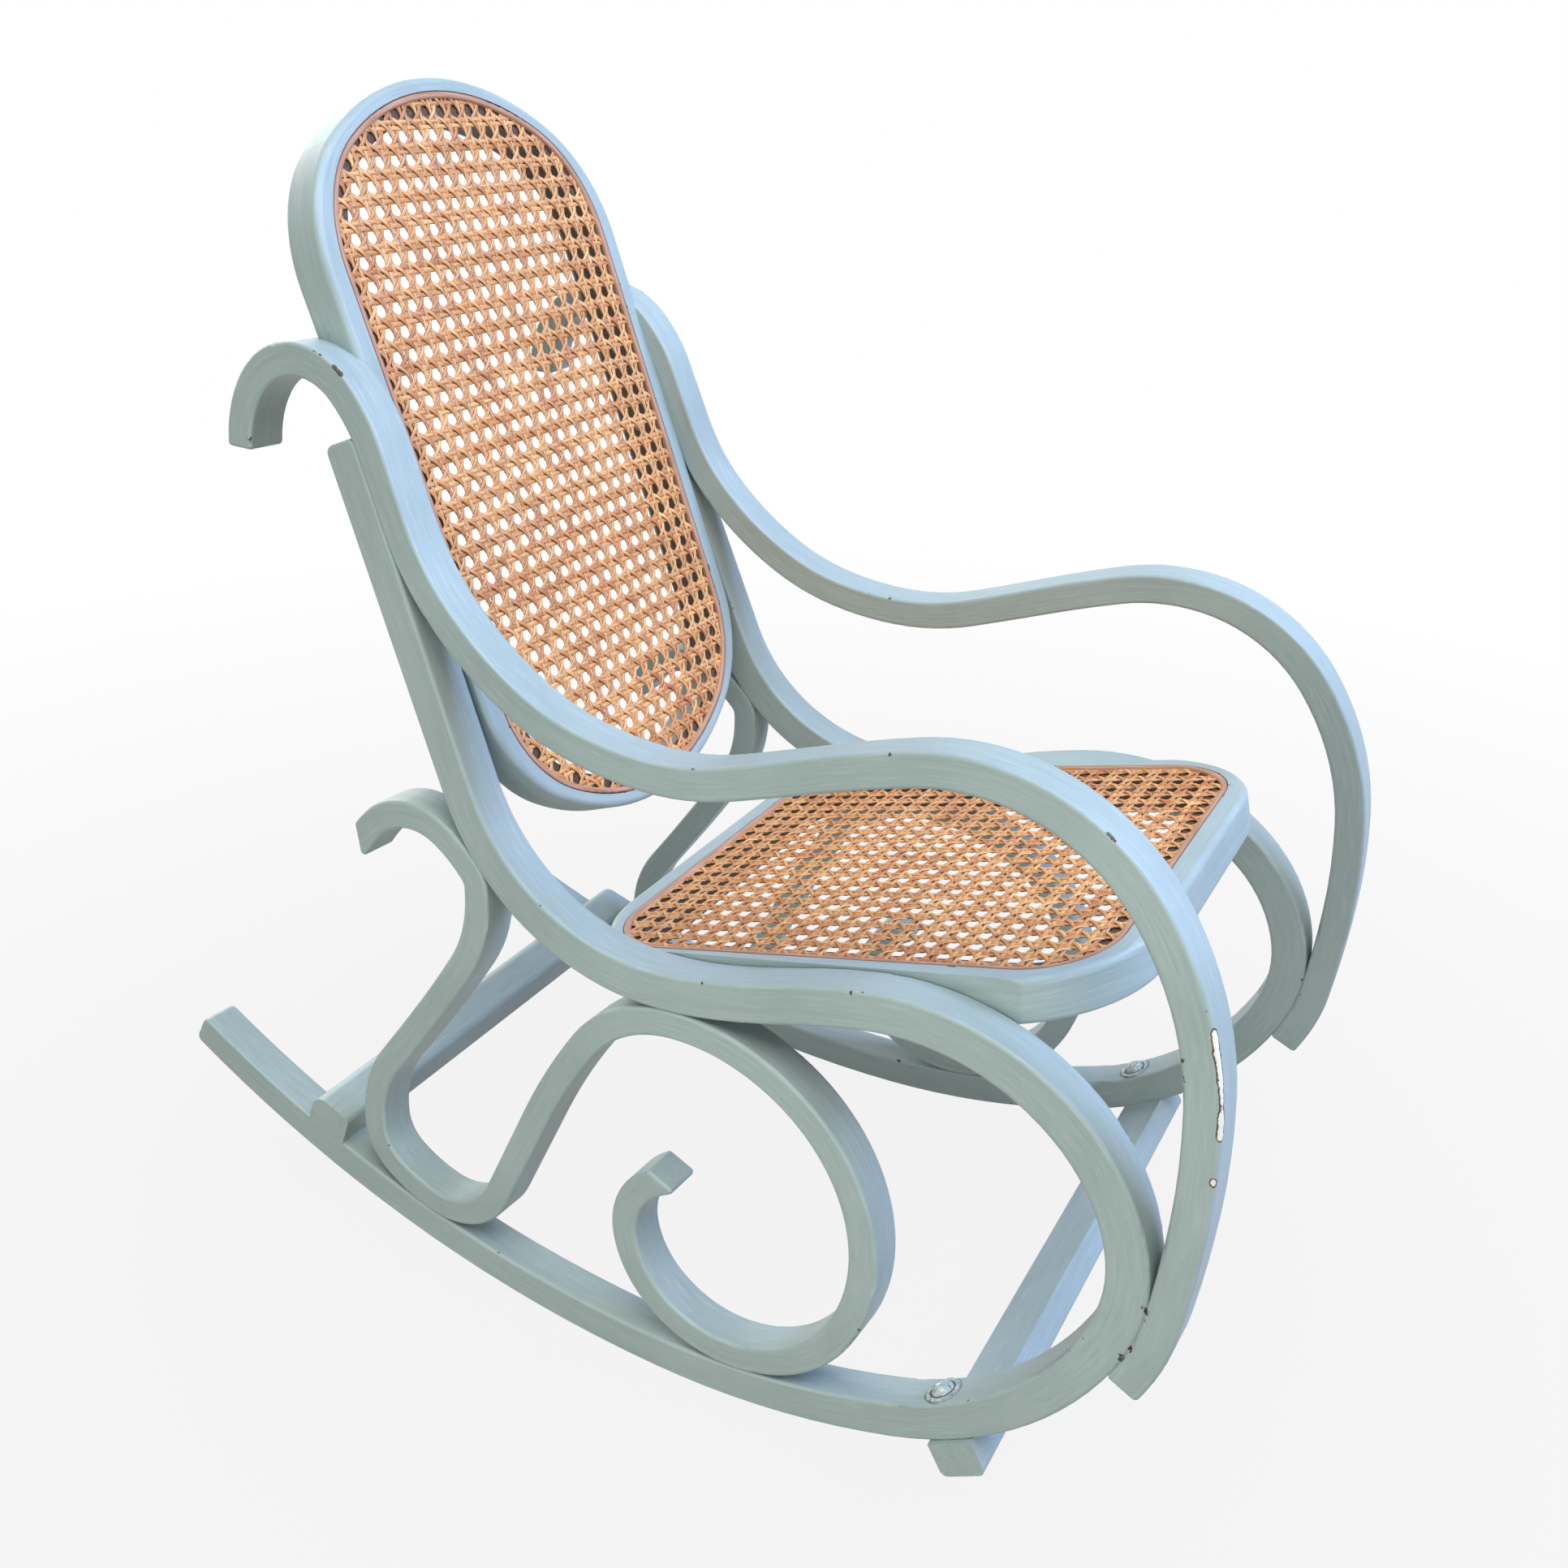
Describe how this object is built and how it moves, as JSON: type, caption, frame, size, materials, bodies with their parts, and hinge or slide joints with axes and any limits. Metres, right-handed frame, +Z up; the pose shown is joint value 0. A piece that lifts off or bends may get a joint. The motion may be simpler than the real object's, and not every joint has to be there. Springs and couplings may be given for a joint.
{
  "type": "rocking chair",
  "caption": "Child's bentwood rocking chair with scrolled side frames, curled arms, painted wood, and a caned seat and back.",
  "frame": {"origin": "middle of the chair's box, on the floor", "axes": "+Z up, the sitter faces -Y, +X to the sitter's left"},
  "size_m": [0.3722, 0.6778, 0.6906],
  "materials": {
    "painted_wood": "brushed satin paint, duck-egg blue",
    "cane": "natural woven rattan cane",
    "spline": "red-brown reed",
    "steel": "zinc-plated, dulled"
  },
  "bodies": {
    "root": {"right_rocker_rail": "painted_wood", "left_rocker_rail": "painted_wood", "right_arm": "painted_wood", "left_arm": "painted_wood", "right_scroll": "painted_wood", "left_scroll": "painted_wood", "seat_frame": "painted_wood", "back_frame": "painted_wood", "front_stretcher": "painted_wood", "rear_stretcher": "painted_wood", "seat_cane": "cane", "back_cane": "cane", "seat_spline": "spline", "back_spline": "spline", "stretcher_bolts": "steel", "stretcher_washers": "steel", "stretcher_nuts": "steel", "rear_stretcher_screws": "steel", "scroll_to_rocker_screws": "steel", "scroll_to_seat_rail_screws": "steel", "scroll_to_post_screws": "steel", "arm_to_post_screws": "steel", "arm_to_rocker_screws": "steel", "seat_screws": "steel", "back_screws": "steel"}
  },
  "joints": []
}
